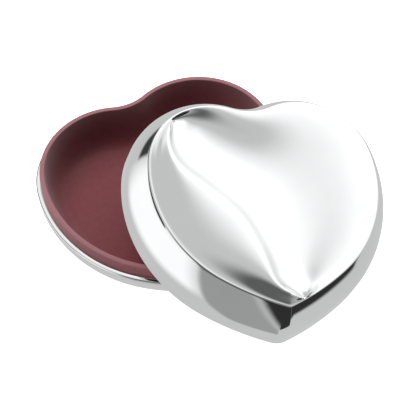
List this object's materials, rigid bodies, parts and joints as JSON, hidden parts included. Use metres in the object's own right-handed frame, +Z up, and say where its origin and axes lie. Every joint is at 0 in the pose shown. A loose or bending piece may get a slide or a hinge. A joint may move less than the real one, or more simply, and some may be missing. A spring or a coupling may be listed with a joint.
{
  "type": "wind-up music box",
  "caption": "Heart-shaped polished metal music box with a burgundy lined base, a loose ridged lid leaning on it, and a spring-driven cylinder movement wound from below.",
  "frame": {"origin": "in the resting face, the underside of the felt pad, midway between the centres of the heart's two lobes", "axes": "+Z up, +Y towards the notch between the lobes, -Y towards the heart's tip, +X to the right-hand lobe"},
  "size_m": [0.1825, 0.1815, 0.0696],
  "materials": {
    "polished": "mirror-polished nickel plate",
    "burgundy_liner": "moulded plastic with a burgundy flocked face",
    "felt": "dark felt",
    "brass": "turned and lightly polished brass",
    "cast_brass": "cast, slightly matt",
    "spring_steel": "blued spring steel",
    "steel": "turned or ground steel"
  },
  "bodies": {
    "case": {"base_shell": "polished", "base_liner": "burgundy_liner", "underside_pad": "felt", "key_well_cup": "polished", "case_screw_1": "steel", "case_screw_2": "steel", "case_screw_3": "steel", "case_screw_4": "steel", "bedplate": "cast_brass", "click_screw": "steel", "click_spring": "spring_steel", "barrel_bridge": "cast_brass", "bridge_screw": "steel", "inner_bracket": "cast_brass", "inner_bracket_screw": "steel", "outer_bracket": "cast_brass", "outer_bracket_screw": "steel", "comb": "steel", "comb_bar": "cast_brass", "comb_screw_1": "steel", "comb_screw_2": "steel", "governor_cock": "cast_brass", "governor_screw": "steel"},
    "winder": {"winding_key": "brass", "winding_arbor": "steel", "ratchet_wheel": "steel"},
    "click": {"click": "steel"},
    "barrel": {"spring_barrel": "brass", "barrel_cover": "brass", "mainspring": "spring_steel"},
    "cylinder": {"music_cylinder": "brass", "cylinder_arbor": "steel", "cylinder_pinion": "steel", "cylinder_wheel": "brass"},
    "wheel": {"worm_wheel": "brass", "wheel_arbor": "steel", "wheel_pinion": "steel"},
    "governor": {"governor_worm": "steel", "governor_fan": "brass"},
    "stop": {"stop_slide": "steel"},
    "lid": {"lid_shell": "polished", "lid_liner": "burgundy_liner"}
  },
  "joints": [
    {"name": "key_wind", "type": "hinge", "parent": "case", "child": "winder", "pos_m": [-0.002, -0.034, 0.0063], "axis": [0, 0, 1], "range_deg": [0, 1440]},
    {"name": "click_lift", "type": "hinge", "parent": "case", "child": "click", "pos_m": [0.0015, -0.0264, 0.0083], "axis": [0, 0, -1], "range_deg": [0, 12], "stiffness_Nm_per_rad": 0.0001, "springref_deg": -5.73},
    {"name": "barrel_spin", "type": "hinge", "parent": "case", "child": "barrel", "pos_m": [-0.002, -0.034, 0.0063], "axis": [0, 0, 1], "continuous": true},
    {"name": "cylinder_spin", "type": "hinge", "parent": "case", "child": "cylinder", "pos_m": [0.018, -0.034, 0.0183], "axis": [1, 0, 0], "continuous": true},
    {"name": "wheel_spin", "type": "hinge", "parent": "case", "child": "wheel", "pos_m": [0.018, -0.0403, 0.0183], "axis": [1, 0, 0], "continuous": true},
    {"name": "governor_spin", "type": "hinge", "parent": "case", "child": "governor", "pos_m": [0.0278, -0.04523, 0.0143], "axis": [0, 0, 1], "continuous": true},
    {"name": "stop_travel", "type": "slide", "parent": "case", "child": "stop", "axis": [1, 0, 0], "range_m": [0, 0.004]},
    {"name": "lid_lift", "type": "slide", "parent": "case", "child": "lid", "axis": [0, 0, 1], "range_m": [0, 0.12]}
  ],
  "couplings": [
    {"joint": "cylinder_spin", "follows": "barrel_spin", "ratio": 3},
    {"joint": "wheel_spin", "follows": "barrel_spin", "ratio": -6},
    {"joint": "governor_spin", "follows": "barrel_spin", "ratio": -72}
  ]
}
